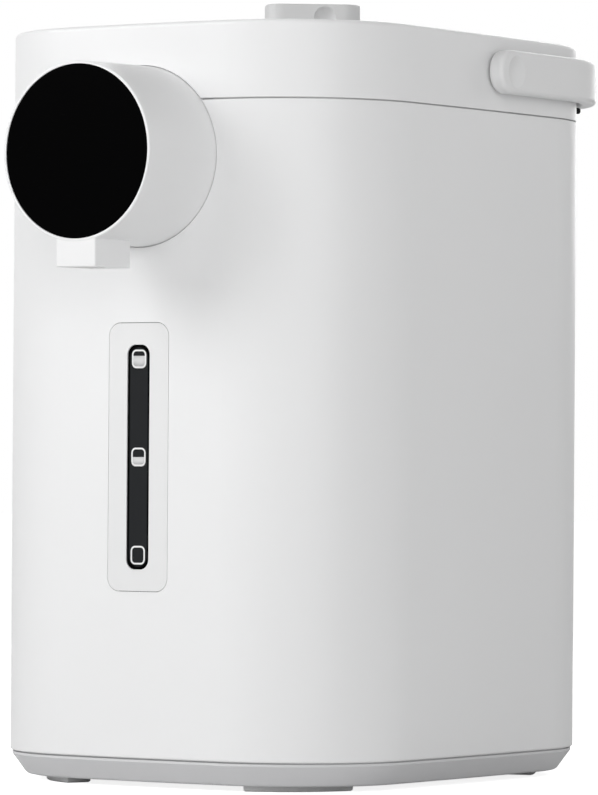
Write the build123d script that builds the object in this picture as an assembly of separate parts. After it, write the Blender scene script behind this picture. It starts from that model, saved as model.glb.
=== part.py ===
from build123d import *
from math import atan, cos, pi, radians, sin, sqrt, tan
import os

# Hot water dispenser: an upright electric pot with a spout head, a level gauge, a hinged lid and a bail.
# Millimetres, +Z up, front towards -Y. Every piece is drawn about the body's upright axis and is moved back
# at the end, so that the origin lies on the floor under the middle of the pot's outline.

# Body plan
body_width = 196.0
body_depth = 240.0
corner_radius = 60.0
front_bow = 9.0
side_bow = 3.0
body_wall = 2.0

# Heights of the stacked housings
foot_height = 2.5
base_height = 10.0
body_height = 277.5
collar_height = 33.0
seam_gap = 0.6

# General fits
running_fit = 0.05
slip = 0.3
small_gap = 0.15
pin_fit = 0.02

# Base
base_taper = 7.3
base_step = 0.9
base_band = 1.0
base_wall = 2.5
lip_height = 6.0
lip_thickness = 1.8
foot_width = 12.0
foot_sweep = 28.0
foot_inset = 2.5
foot_shift = 7.5
foot_recess = 1.0
foot_chamfer = 0.6
foot_gap = 0.1
base_screw_inset = 6.7
base_screw_y = 60.0
base_screw_radius = 1.5
base_screw_head = 3.6
base_screw_seat = 4.5
base_screw_reach = 19.5
screw_pilot = 0.1
screw_clearance = 0.7
head_height = 2.4
boss_radius = 5.0
boss_height = 29.0
boss_blind = 8.0
rib_thickness = 2.4
vent_count = 7
vent_pitch = 9.0
vent_slot_length = 26.0
vent_slot_width = 3.0
vent_slot_setback = 52.0

# Body shell and collar
shell_edge = 0.9
collar_edge = 0.4
collar_wall = 2.5
rim_width = 7.0
rim_wall = 2.0
rim_fillet = 2.0
rim_bevel = 1.0
well_depth = 12.0
deck_thickness = 2.0
throat_wall = 2.5
collar_rise = 6.0

# Vessel
vessel_side_gap = 19.0
vessel_rear_gap = 31.0
vessel_wall = 0.8
nipple_length = 9.0
under_room = 31.5
mouth_lip = 11.0
lip_depth = 3.0
flange_width = 9.0
seal_thickness = 2.0
vessel_screw_count = 6
vessel_screw_turn = 30.0
sleeve_thickness = 6.5
sleeve_rise = 16.0
sleeve_drop = 12.0

# Spout head
head_radius = 38.3
head_front_radius = 37.6
head_wall = 1.9
head_reach = 45.5
head_drop = 23.3
head_flange = 3.2
head_gap = 0.25
lens_thickness = 2.0
lens_recess = 0.2
ledge_width = 3.0
ledge_depth = 1.5
board_thickness = 1.6
block_width = 20.4
block_depth = 25.0
block_setback = 0.2
block_drop = 9.8
nozzle_setback = 10.75
nozzle_radius = 6.5
nozzle_bore = 4.2

# Level gauge
panel_width = 30.6
panel_height = 113.1
panel_centre = 139.85
panel_corner = 5.7
panel_thickness = 2.6
panel_gap = 0.25
window_gap = 0.1
window_width = 11.4
window_height = 94.7
window_corner = 4.2
window_recess = 0.5
holder_margin = 5.0
holder_plate = 2.2

# Water line
line_radius = 5.0
line_bore = 3.5
hose_wall = 2.0
tube_setback = 11.0
tube_overhang = 11.0

# Pump
pump_x = -42.0
pump_z = 27.0
pump_radius = 20.0
pump_depth = 16.0
pump_wall = 2.0
pump_round = 1.8
pump_setback = 30.0
impeller_radius = 15.0
blade_count = 6
shaft_radius = 1.5
motor_radius = 13.0
motor_length = 21.0
cradle_width = 20.0
cradle_length = 11.0
cradle_setback = 3.0

# Heater
heater_radius = 50.0
heater_plate = 2.5
element_radius = 39.5
element_width = 7.0
element_height = 6.5
bracket_thickness = 1.5
bracket_span = 132.0
bracket_width = 28.0
bracket_corner = 4.0
sensor_offset = 23.0
sensor_radius = 3.0
sensor_head = 5.0
sensor_length = 8.0

# Power
inlet_width = 38.0
inlet_height = 24.0
inlet_depth = 17.0
inlet_centre = 37.0
inlet_wall = 3.5
inlet_corner = 5.0
inlet_gap = 0.2
inlet_flange = 3.0
inlet_flange_thickness = 2.0
inlet_floor = 3.0
pin_length = 16.0
pin_tail = 5.0
pin_round = 0.7
inlet_pin_radius = 1.6
pin_pitch = 9.0
pcb_width = 50.0
pcb_depth = 34.0
pcb_x = 37.0
pcb_setback = 33.0
pcb_rise = 6.0
board_post_inset = 4.0
board_post_radius = 3.0
board_post_hole = 1.2
board_hole = 1.4

# Lid
lid_gap = 0.6
lid_sink = 0.4
lid_wall = 2.4
pan_wall = 2.0
pan_floor = 1.6
pan_gap = 2.0
barrel_radius = 5.6
barrel_half = 36.0
hinge_clear = 0.9
lid_set_forward = 8.0
lid_rear_gap = 2.0
lid_rear_corner = 12.0
skirt_set = 1.5
ear_inner = 24.0
ear_width = 8.0
ear_set = 0.2
hinge_pin_radius = 2.0
vent_offset = 46.0
vent_length = 26.0
vent_width = 9.0
vent_flange = 2.5
cap_radius = 13.0
cap_wall = 1.4
cap_depth = 5.0
cap_hole = 3.0

# Twist lock
knob_length = 42.0
knob_width = 20.0
knob_corner = 8.0
knob_height = 17.0
knob_angle = 38.0
knob_disc_radius = 23.0
knob_disc_thickness = 1.6
scoop_radius = 5.9
scoop_depth = 2.4
scoop_offset = 4.8
scoop_drop = 5.8
tooth_module = 1.0
pinion_teeth = 11
pressure_angle = 25.0
backlash = 0.2
tooth_addendum = 0.85
tooth_dedendum = 1.1
bolt_width = 6.0
bolt_thickness = 4.2
rack_teeth = 5
rack_end = 1.0

# Bail
bail_gap = 1.4
bail_thickness = 7.2
bail_height = 18.7
bail_edge = 1.8
bail_nose = 3.0
pivot_y = 10.0
pivot_z = 307.0
pivot_radius = 4.0
dimple_radius = 7.0
dimple_depth = 1.5
stud_radius = 1.4
stud_reach = 3.2
stud_round = 1.0
stud_head = 1.4
rest_gap = 0.1

# Places that follow from the sizes above
seam_low = foot_height + base_height
seam_high = seam_low + body_height
top = seam_high + collar_height
front = -body_depth / 2
side = body_width / 2
vessel_radius = side - vessel_side_gap
vessel_y = body_depth / 2 - vessel_rear_gap - vessel_radius
vessel_floor = seam_low + under_room
vessel_rim = seam_high + collar_rise
throat_bottom = vessel_rim + seal_thickness
throat_radius = vessel_radius - pan_gap
flange_radius = vessel_radius + flange_width
deck_top = top - well_depth
head_z = seam_high - head_drop
head_front = body_depth / 2 + head_reach
base_floor = foot_height + base_wall
tube_y = front + body_wall + tube_setback
nozzle_y = -head_front + nozzle_setback
line_outer = line_radius + running_fit + hose_wall
lid_top = top - lid_sink
lid_under = lid_top - lid_wall
hinge_z = lid_top - barrel_radius
pitch_radius = tooth_module * pinion_teeth / 2
tooth_pitch = pi * tooth_module
boss_under = lid_under - knob_disc_thickness
bolt_top = boss_under - 0.4
bolt_bottom = bolt_top - bolt_thickness
pan_top = bolt_bottom - 0.1
pan_bottom = throat_bottom + seal_thickness
pan_radius = throat_radius - pan_gap
origin_y = (head_front - body_depth / 2 - bail_gap - bail_thickness) / 2

# The plan is four long arcs joined by tangent corner arcs
front_arc = (side**2 + front_bow**2) / (2 * front_bow)
side_arc = (body_depth**2 / 4 + side_bow**2) / (2 * side_bow)
rear_bow = barrel_half**2 / (2 * (front_arc - rim_width))
hinge_y = body_depth / 2 - rim_width - rear_bow - hinge_clear - barrel_radius
lid_rear = hinge_y - lid_set_forward


def corner_centre():
    """The rear right corner arc's centre, which lies corner_radius inside both long arcs."""
    reach_back = front_arc - corner_radius
    reach_side = side_arc - corner_radius
    back = Vector(0, body_depth / 2 - front_arc)
    across = Vector(side - side_arc, 0) - back
    along = (reach_back**2 - reach_side**2 + across.length**2) / (2 * across.length)
    unit = across.normalized()
    return back + unit * along + Vector(unit.Y, -unit.X) * sqrt(reach_back**2 - along**2)


corner = corner_centre()
corner_back = (corner - Vector(0, body_depth / 2 - front_arc)).normalized()
corner_side = (corner - Vector(side - side_arc, 0)).normalized()
corner_way = (corner_back + corner_side).normalized()


def outline(inset=0.0):
    """The body's plan drawn in by inset, or out where inset is negative."""
    radius = corner_radius - inset
    on_back = corner + corner_back * radius
    on_corner = corner + corner_way * radius
    on_side = corner + corner_side * radius
    edges = []
    for sign in (-1, 1):
        y = sign * on_back.Y
        edges.append(ThreePointArc((-on_back.X, y), (0, sign * (body_depth / 2 - inset)), (on_back.X, y)))
        x = sign * on_side.X
        edges.append(ThreePointArc((x, on_side.Y), (sign * (side - inset), 0), (x, -on_side.Y)))
    for x, y in corners():
        points = [(x * p.X, y * p.Y) for p in (on_back, on_corner, on_side)]
        edges.append(ThreePointArc(*points))
    return make_face(edges)


def slab(inset, low, high):
    """The plan, drawn in by inset, as a solid between two heights."""
    return extrude(Pos(0, 0, low) * outline(inset), high - low)


def wall(outer, inner, low, high):
    """An upright wall between two insets."""
    return slab(outer, low, high) - slab(inner, low, high)


def tapered(low_inset, low, high_inset, high):
    """A solid whose walls lean from one inset to another."""
    return loft([Pos(0, 0, low) * outline(low_inset), Pos(0, 0, high) * outline(high_inset)], ruled=True)


def block(x, y, z):
    """A box between pairs of x, y and z."""
    size = (x[1] - x[0], y[1] - y[0], z[1] - z[0])
    return Pos((x[0] + x[1]) / 2, (y[0] + y[1]) / 2, (z[0] + z[1]) / 2) * Box(*size)


def rod(radius, low, high, x=0.0, y=0.0):
    """An upright cylinder."""
    return Pos(x, y, low) * Cylinder(radius, high - low, align=(Align.CENTER, Align.CENTER, Align.MIN))


def ring(outer, inner, low, high, x=0.0, y=0.0):
    """An upright tube."""
    return rod(outer, low, high, x, y) - rod(inner, low, high, x, y)


def rod_y(radius, y_low, y_high, x, z):
    """A cylinder along Y."""
    return Pos(x, y_high, z) * Rot(90, 0, 0) * rod(radius, 0, y_high - y_low)


def ring_y(outer, inner, y_low, y_high, x, z):
    """A tube along Y."""
    return rod_y(outer, y_low, y_high, x, z) - rod_y(inner, y_low, y_high, x, z)


def rod_x(radius, x_low, x_high, y, z):
    """A cylinder along X."""
    return Pos(x_low, y, z) * Rot(0, 90, 0) * rod(radius, 0, x_high - x_low)


def front_prism(width, height, radius, z, reach=30.0):
    """A rounded rectangle standing in the front, extruded through the front wall."""
    plane = Plane(origin=(0, front - reach / 2, z), x_dir=(1, 0, 0), z_dir=(0, 1, 0))
    return extrude(plane * RectangleRounded(width, height, radius), reach)


def turned(points):
    """A solid of revolution about Z from (radius, height) points."""
    return revolve(Plane.XZ * make_face(Polyline(*points, close=True)), Axis.Z)


def pipe(points, bend, outer, bore):
    """A round tube along straight runs joined by tangent arcs."""
    path = FilletPolyline(*points, radius=bend) if len(points) > 2 else Line(*points)
    start = Plane(origin=path @ 0, z_dir=path % 0)
    return sweep(start * (Circle(outer) - Circle(bore)), path)


def corners():
    """The four corner directions as signs of x and y."""
    return [(x, y) for x in (-1, 1) for y in (-1, 1)]


def mirror_pair(shape):
    """A shape and its mirror image across the middle plane."""
    return Compound([*shape.solids(), *mirror(shape, Plane.YZ).solids()])


def joined(first, *others):
    """Several shapes fused into one."""
    for other in others:
        first = first + other
    return first


# Base cover: tapered pan with feet recesses, screw posts, board posts, vents and a locating lip
def base_screw_places():
    inward = side - base_taper - base_screw_inset
    return [(x * inward, y * base_screw_y) for x, y in corners()]


def board_places():
    y = front + pcb_setback
    return [
        (pcb_x + sx * (pcb_width / 2 - board_post_inset), y + sy * (pcb_depth / 2 - board_post_inset))
        for sx, sy in corners()
    ]


def foot_face(grow=0.0):
    """One foot's plan: a piece of a ring that follows the rear right corner, a little nearer the middle."""
    outer = corner_radius - base_taper - foot_inset + grow
    inner = outer - foot_width - 2 * grow
    half = radians(foot_sweep) + grow / outer
    middle = Vector(corner_way.X, corner_way.Y)
    turn = [middle.rotate(Axis.Z, angle * 180 / pi) for angle in (-half, 0.0, half)]
    centre = corner - Vector(foot_shift, 0)
    far = [centre + way * outer for way in turn]
    near = [centre + way * inner for way in turn]
    return make_face(
        [
            ThreePointArc(*far),
            ThreePointArc(*near),
            Line(far[0], near[0]),
            Line(far[2], near[2]),
        ]
    )


def four_corners(shape):
    """A shape at the rear right corner, repeated at all four."""
    right = Compound([*shape.solids(), *mirror(shape, Plane.XZ).solids()])
    return mirror_pair(right)


def make_base_cover():
    rim_top = seam_low - seam_gap / 2
    band_low = rim_top - base_band
    body = tapered(base_taper, foot_height, base_step, band_low)
    body = fillet(body.edges().group_by(Axis.Z)[0], base_wall)
    body = body + slab(base_step, band_low, rim_top)
    body = body - tapered(base_taper + base_wall, base_floor, base_step + base_wall, rim_top)
    lip_out = body_wall + small_gap
    body = body + wall(lip_out, lip_out + lip_thickness, rim_top - base_band, seam_low + lip_height)
    for x, y in base_screw_places():
        body = body - rod(boss_radius + slip, rim_top, seam_low + lip_height, x, y)
        body = body + rod(boss_radius, base_floor - base_wall / 2, rim_top, x, y)
        body = body - rod(base_screw_radius + screw_clearance, 0, rim_top, x, y)
        body = body - rod(base_screw_head + 2 * slip, 0, foot_height + base_screw_seat, x, y)
    for x, y in board_places():
        body = body + ring(board_post_radius, board_post_hole, base_floor, base_floor + pcb_rise, x, y)
    for i in range(vent_count):
        x = (i - (vent_count - 1) / 2) * vent_pitch
        slot = SlotOverall(vent_slot_length, vent_slot_width, rotation=90)
        body = body - extrude(Pos(x, body_depth / 2 - vent_slot_setback, 0) * slot, base_floor)
    for sx, sy in corners():
        foot = foot_face(foot_gap)
        foot = mirror(foot, Plane.YZ) if sx < 0 else foot
        foot = mirror(foot, Plane.XZ) if sy < 0 else foot
        body = body - extrude(foot, foot_height + foot_recess)
    return body


def make_feet():
    foot = extrude(foot_face(), foot_height + foot_recess)
    foot = chamfer(foot.edges().group_by(Axis.Z)[0], foot_chamfer)
    return four_corners(foot)


def make_base_screws():
    seat = foot_height + base_screw_seat
    screws = []
    for x, y in base_screw_places():
        screw = rod(base_screw_head, seat - head_height, seat, x, y)
        screw = screw + rod(base_screw_radius, seat, seat + base_screw_reach, x, y)
        screws += screw.solids()
    return Compound(screws)


# Body shell: tall jacket with the head's opening, the gauge's opening, the inlet's opening and screw bosses
def head_hole(extra):
    return rod_y(head_radius + extra, front - 20, front + 20, 0, head_z)


def inlet_prism(grow, y_low, y_high):
    plane = Plane(origin=(0, y_low, inlet_centre), x_dir=(1, 0, 0), z_dir=(0, 1, 0))
    face = RectangleRounded(inlet_width + 2 * grow, inlet_height + 2 * grow, inlet_corner + grow)
    return extrude(plane * face, y_high - y_low)


def make_body_shell():
    low = seam_low + seam_gap / 2
    high = seam_high - seam_gap / 2
    shell = slab(0, low, high)
    shell = fillet(shell.edges().group_by(Axis.Z)[0], shell_edge)
    shell = shell - slab(body_wall, low, high)
    inside = slab(body_wall / 2, low, high)
    for x, y in base_screw_places():
        sign = 1 if x > 0 else -1
        rib_end = sign * side
        rib_low = low + lip_height + body_wall
        half = rib_thickness / 2
        rib = block(sorted((x, rib_end)), (y - half, y + half), (rib_low, low + boss_height))
        boss = rod(boss_radius, low, low + boss_height, x, y) + (rib & inside)
        pilot = rod(base_screw_radius + screw_pilot, low, low + boss_height - boss_blind, x, y)
        shell = shell + boss - pilot
    shell = shell - head_hole(head_gap)
    width, height = panel_width + 2 * panel_gap, panel_height + 2 * panel_gap
    shell = shell - front_prism(width, height, panel_corner + panel_gap, panel_centre)
    shell = shell - inlet_prism(inlet_gap, body_depth / 2 - inlet_depth, body_depth / 2 + inlet_depth)
    return shell


# Collar: skirt, hollow rim, lid well, throat, hinge ears, lock slots and the holes for pins and studs
def bolt_y(sign):
    """The near and far edges of the right (sign 1) or left (sign -1) lock bolt."""
    edge = pitch_radius + tooth_dedendum
    return sorted((vessel_y - sign * edge, vessel_y - sign * (edge + bolt_width)))


def stud_plane(x_sign=1):
    """Plane at a rear corner of the collar, facing out, at the rest studs' height."""
    z = pivot_z - bail_height / 2 - stud_radius - rest_gap
    spot = corner + corner_way * corner_radius
    return Plane(origin=(x_sign * spot.X, spot.Y, z), z_dir=(x_sign * corner_way.X, corner_way.Y, 0))


def screw_ring(radius, count, turn=0.0):
    """Places on a circle about the vessel's axis."""
    steps = [radians(turn + 360 * i / count) for i in range(count)]
    return [(radius * cos(a), vessel_y + radius * sin(a)) for a in steps]


def vessel_screw_places():
    return screw_ring(vessel_radius + flange_width / 2 + 0.5, vessel_screw_count, vessel_screw_turn)


def make_rear_deck():
    """The fixed strips behind the lid's rear edge, on both sides of the hinge: a top and two walls each."""
    begin = lid_rear + lid_rear_gap
    inner = barrel_half + lid_gap
    space = slab(rim_width - 1, deck_top - 1, lid_top)
    space = space & block((-side, side), (begin, body_depth), (0, top))
    space = space - block((-inner, inner), (0, body_depth), (0, top))
    room = block((-side, side), (begin + rim_wall, body_depth), (0, lid_under))
    room = room - block((-inner - rim_wall, inner + rim_wall), (0, body_depth), (0, top))
    return space - (room & slab(rim_width, 0, top))


def make_collar():
    low = seam_high + seam_gap / 2
    collar = slab(0, low, top)
    collar = fillet(collar.edges().group_by(Axis.Z)[-1], rim_fillet)
    collar = fillet(collar.edges().group_by(Axis.Z)[0], collar_edge)
    collar = collar - slab(rim_width, deck_top, top)
    collar = collar - tapered(rim_width, top - rim_bevel, rim_width - rim_bevel, top)
    collar = collar - slab(rim_width, low, deck_top - deck_thickness)
    collar = collar - wall(collar_wall, rim_width - rim_wall, low, top - collar_wall)
    collar = collar - wall(rim_width - rim_wall - 0.01, rim_width, low, deck_top - deck_thickness)
    collar = collar - rod(throat_radius, low, top, 0, vessel_y)
    throat = ring(throat_radius + throat_wall, throat_radius, throat_bottom, deck_top, 0, vessel_y)
    ledge = ring(flange_radius, throat_radius, throat_bottom, throat_bottom + deck_thickness, 0, vessel_y)
    collar = joined(collar, throat, ledge)
    for x, y in vessel_screw_places():
        collar = collar + rod(3.5, vessel_rim + small_gap, throat_bottom + 9, x, y)
        collar = collar - rod(1.5, vessel_rim, throat_bottom + 7.5, x, y)
    lip_out = body_wall + small_gap
    lip = wall(lip_out, lip_out + lip_thickness, seam_high - lip_height, low + 2)
    collar = collar + (lip - head_hole(head_flange + 0.6))
    collar = collar + make_rear_deck()
    for sign in (-1, 1):
        x = sorted((sign * ear_inner, sign * (ear_inner + ear_width)))
        ear = rod_x(barrel_radius - ear_set, *x, hinge_y, hinge_z)
        reach = barrel_radius - ear_set
        foot = block(x, (hinge_y - reach, hinge_y + reach), (deck_top - 1, hinge_z))
        collar = collar + ear + foot - rod_x(hinge_pin_radius, *x, hinge_y, hinge_z)
        y = bolt_y(sign)
        slot_x = sorted((sign * (side - rim_width - 3), sign * (side - rim_width + rim_wall + 0.4)))
        collar = collar - block(slot_x, (y[0] - slip, y[1] + slip), (bolt_bottom - slip, bolt_top + slip))
        hole_x = sorted((sign * (side - collar_wall - 1), sign * (side + 1)))
        collar = collar - rod_x(pivot_radius + pin_fit, *hole_x, pivot_y, pivot_z)
        hole = stud_plane(sign) * Circle(stud_radius + pin_fit)
        collar = collar - extrude(hole, 2 * collar_wall, both=True)
    collar = collar - head_hole(head_gap)
    return collar


# Vessel with its seal, screws and insulation
def make_vessel():
    """The wall, with its turned-in mouth and screwed flange. Its foot is seam-welded to the base."""
    outer = vessel_radius
    mouth = outer - mouth_lip
    wall = ring(outer, outer - vessel_wall, vessel_floor + vessel_wall, vessel_rim)
    wall = wall + ring(flange_radius, mouth, vessel_rim - vessel_wall, vessel_rim)
    wall = wall + ring(mouth + vessel_wall, mouth, vessel_rim - lip_depth, vessel_rim)
    wall = Pos(0, vessel_y, 0) * wall
    for x, y in vessel_screw_places():
        wall = wall - rod(1.8, vessel_rim - 2, vessel_rim + 1, x, y)
    return wall


def make_vessel_base():
    """The flat pressed base, which the heater is held against, with the outlet nipple brazed into it."""
    base = rod(vessel_radius, vessel_floor, vessel_floor + vessel_wall, 0, vessel_y)
    x, y = nipple_place()
    low = vessel_floor - nipple_length
    base = base + rod(line_radius, low, vessel_floor + vessel_wall / 2, x, y)
    return base - rod(line_bore, low, vessel_floor + 2, x, y)


def nipple_place():
    """The vessel's outlet, on the pump's side, outside the heater."""
    reach = heater_radius + line_outer + 3
    return pump_x, vessel_y - sqrt(reach**2 - pump_x**2)


def make_vessel_seal():
    return ring(vessel_radius + 1, throat_radius, vessel_rim, throat_bottom, 0, vessel_y)


def make_vessel_screws():
    seat = vessel_rim - vessel_wall
    screws = []
    for x, y in vessel_screw_places():
        screws += (rod(3.0, seat - 2.2, seat, x, y) + rod(1.45, seat, throat_bottom + 6, x, y)).solids()
    return Compound(screws)


def make_sleeve():
    inner = vessel_radius + slip
    low, high = vessel_floor + sleeve_rise, vessel_rim - sleeve_drop
    return ring(inner + sleeve_thickness, inner, low, high, 0, vessel_y)


# Heater, its safety parts and the bracket under it
def make_heating_plate():
    plate = rod(heater_radius, vessel_floor - heater_plate, vessel_floor)
    half = element_width / 2
    low = vessel_floor - heater_plate - element_height
    element = ring(element_radius + half, element_radius - half, low, vessel_floor - heater_plate)
    element = fillet(element.edges().group_by(Axis.Z)[0], half - 0.6)
    y = (element_radius - 0.5, element_radius + 0.5)
    tabs = [block((x - 3, x + 3), y, (low - 8, low + 2)) for x in (-9, 9)]
    return Pos(0, vessel_y, 0) * joined(plate, element, *tabs)


def bracket_top():
    return vessel_floor - heater_plate - element_height - 6


def make_bracket():
    top_z = bracket_top()
    half = bracket_span / 2
    y = (vessel_y - bracket_width / 2, vessel_y + bracket_width / 2)
    bridge = block((-half, half), y, (base_floor, top_z))
    bridge = fillet(bridge.edges().filter_by(Axis.Y).group_by(Axis.Z)[-1], bracket_corner)
    inner = half - bracket_thickness
    hollow = block((-inner, inner), y, (base_floor, top_z - bracket_thickness))
    bend = bracket_corner - bracket_thickness
    hollow = fillet(hollow.edges().filter_by(Axis.Y).group_by(Axis.Z)[-1], bend)
    bridge = bridge - hollow
    for sign in (-1, 1):
        x = sorted((sign * inner, sign * (half + 10)))
        tab = block(x, y, (base_floor, base_floor + bracket_thickness))
        bridge = bridge + tab - rod(2, base_floor, base_floor + 3, sign * (half + 5), vessel_y)
    return bridge


def make_thermal_cutout():
    top_z = vessel_floor - heater_plate
    body = rod(8.0, bracket_top(), top_z - 4, 0, vessel_y) + rod(11.0, top_z - 4, top_z, 0, vessel_y)
    for x in (-1, 1):
        body = body + block(sorted((x * 6, x * 16)), (vessel_y - 3, vessel_y + 3), (top_z - 8, top_z - 7))
    return body


def make_sensor():
    top_z = vessel_floor - heater_plate
    body = rod(sensor_head, top_z - 2, top_z) + rod(sensor_radius, top_z - sensor_length, top_z)
    return Pos(0, vessel_y - sensor_offset, 0) * body


# Pump: volute housing with a bored chamber, bladed impeller on its shaft, motor and cradle
pump_rear = front + pump_setback + pump_depth
pump_front = front + pump_setback
outlet_x = pump_x + pump_radius - pump_wall - line_bore


def make_pump_housing():
    chamber = pump_radius - pump_wall - 1
    housing = rod_y(pump_radius, pump_front, pump_rear, pump_x, pump_z)
    housing = fillet(housing.edges().group_by(Axis.Y)[-1], pump_round)
    y = (pump_front + pump_rear) / 2
    rise = pump_z + pump_radius + 8
    housing = housing + rod(line_radius, pump_z, rise, outlet_x, y)
    housing = housing + rod_y(line_radius, pump_rear - 1, pump_rear + 10, pump_x, pump_z)
    housing = housing - rod_y(chamber, pump_front + pump_wall, pump_rear - pump_wall, pump_x, pump_z)
    housing = housing - rod(line_bore, pump_z, rise, outlet_x, y)
    housing = housing - rod_y(line_bore, pump_rear - 3, pump_rear + 10, pump_x, pump_z)
    return housing - rod_y(shaft_radius + running_fit, pump_front, pump_front + 3, pump_x, pump_z)


def make_impeller():
    back = pump_front + pump_wall + 0.6
    wheel = rod(impeller_radius, 0, 1.4) + rod(3.5, 0, 6.5)
    for i in range(blade_count):
        blade = block((2, impeller_radius - 0.5), (-0.6, 0.6), (1, 6.0))
        wheel = wheel + Rot(0, 0, 360 * i / blade_count) * Pos(0, 2.0, 0) * blade
    wheel = Pos(pump_x, back, pump_z) * Rot(-90, 0, 0) * wheel
    return wheel + rod_y(shaft_radius, pump_front - motor_length + 4, back + 1, pump_x, pump_z)


def make_motor():
    rear = pump_front
    motor = rod_y(motor_radius, rear - motor_length, rear, pump_x, pump_z)
    motor = fillet(motor.edges().group_by(Axis.Y)[0], 1.5)
    for sign in (-1, 1):
        x = sorted((pump_x + sign * (motor_radius - 1.5), pump_x + sign * (motor_radius + 2)))
        motor = motor - block(x, (rear - motor_length, rear - 2), (pump_z - 15, pump_z + 15))
    return motor - rod_y(shaft_radius + running_fit, rear - motor_length + 3, rear, pump_x, pump_z)


def make_cradle():
    y = (pump_front - cradle_setback - cradle_length, pump_front - cradle_setback)
    half = cradle_width / 2
    cradle = block((pump_x - half, pump_x + half), y, (base_floor, pump_z - 6))
    return cradle - rod_y(motor_radius + 0.1, y[0], y[1], pump_x, pump_z)


# Water line from the vessel through the pump and the gauge tube to the nozzle
hose_bore = line_radius + running_fit
tube_low = panel_centre - window_height / 2 - tube_overhang - 10
tube_high = panel_centre + window_height / 2 + tube_overhang + 10


def make_inlet_hose():
    x, y = nipple_place()
    points = [(x, y, vessel_floor - 2), (x, y, pump_z), (x, pump_rear + 2, pump_z)]
    return pipe(points, 9.0, line_outer, hose_bore)


def make_lower_hose():
    y = (pump_front + pump_rear) / 2
    start = pump_z + pump_radius + 3
    level = start + 14
    points = [(outlet_x, y, start), (outlet_x, y, level), (0, tube_y, level), (0, tube_y, tube_low + 10)]
    return pipe(points, 8.0, line_outer, hose_bore)


def make_level_tube():
    return ring(line_radius, line_bore, tube_low, tube_high, 0, tube_y)


def make_upper_hose():
    return ring(line_outer, hose_bore, tube_high - 10, head_z - head_radius + 18, 0, tube_y)


def make_outlet_pipe():
    low = head_z - head_radius + 8
    level = head_z - 4.7
    end = head_z - head_radius - block_drop + nozzle_height()[1] + 0.6
    points = [(0, tube_y, low), (0, tube_y, level), (0, nozzle_y, level), (0, nozzle_y, end)]
    return pipe(points, 12.0, line_radius, line_bore)


# Spout head: round shell with the nozzle block moulded on, touch disc, board and nozzle
def block_bottom():
    return head_z - head_radius - block_drop


def nozzle_height():
    """The nozzle's lower edge, shoulder and upper edge above the block's underside."""
    return 1.0, 7.7, 14.2


def make_head_shell():
    rear = front + body_wall + head_flange
    length = rear + head_front
    outer = turned([(0, 0), (head_front_radius, 0), (head_radius, length), (0, length)])
    outer = Pos(0, -head_front, head_z) * Rot(-90, 0, 0) * outer
    outer = fillet(outer.edges().group_by(Axis.Y)[0], 0.5)
    x = block_width / 2
    y = -head_front + block_setback
    nozzle = block((-x, x), (y, y + block_depth), (block_bottom(), head_z - 20))
    nozzle = fillet(nozzle.edges().filter_by(Axis.Z), 0.8)
    nozzle = fillet(nozzle.edges().group_by(Axis.Z)[0], 0.6)
    shell = outer + nozzle
    flange = rod_y(head_radius + head_flange, front - 4, rear, 0, head_z) & slab(collar_wall + slip, 0, top)
    shell = shell + flange
    bore = head_radius - head_wall
    shell = shell - rod_y(bore, -head_front, rear, 0, head_z)
    ledge_y = -head_front + lens_recess + lens_thickness
    shell = shell + ring_y(bore + 0.2, bore - ledge_width, ledge_y, ledge_y + ledge_depth, 0, head_z)
    return shell - rod(nozzle_radius + 0.1, block_bottom(), head_z - 20, 0, nozzle_y)


def make_lens():
    y = -head_front + lens_recess
    lens = rod_y(head_radius - head_wall - 0.1, y, y + lens_thickness, 0, head_z)
    return fillet(lens.edges().group_by(Axis.Y)[0], 0.4)


def make_display_board():
    y = -head_front + lens_recess + lens_thickness + ledge_depth
    board = rod_y(head_radius - head_wall - 0.5, y, y + board_thickness, 0, head_z)
    deck = y + board_thickness
    board = board - block((-head_radius, head_radius), (y, deck), (0, head_z - head_radius + 10))
    for x, z, w, h in ((18, 8, 9, 9), (-18, 10, 12, 6), (-16, -12, 6, 10), (17, -10, 8, 5)):
        z = head_z + z
        board = board + block((x - w / 2, x + w / 2), (deck, deck + 1.4), (z - h / 2, z + h / 2))
    return board


def make_nozzle():
    low, shoulder, high = [block_bottom() + h for h in nozzle_height()]
    nozzle = ring(nozzle_radius, nozzle_bore, low, high)
    nozzle = nozzle - rod(line_radius + running_fit, shoulder, high)
    return Pos(0, nozzle_y, 0) * nozzle


# Level gauge: bezel flush in the wall, dark window in its slot, holder behind
def make_gauge_panel():
    panel = front_prism(panel_width, panel_height, panel_corner, panel_centre)
    panel = panel & wall(0, panel_thickness, seam_low, seam_high)
    panel = panel.solids().sort_by(Axis.Y)[0]
    width, height = window_width + 2 * window_gap, window_height + 2 * window_gap
    return panel - front_prism(width, height, window_corner + window_gap, panel_centre)


def make_gauge_window():
    window = front_prism(window_width, window_height, window_corner, panel_centre)
    window = window & wall(window_recess, panel_thickness, seam_low, seam_high)
    return window.solids().sort_by(Axis.Y)[0]


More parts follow.
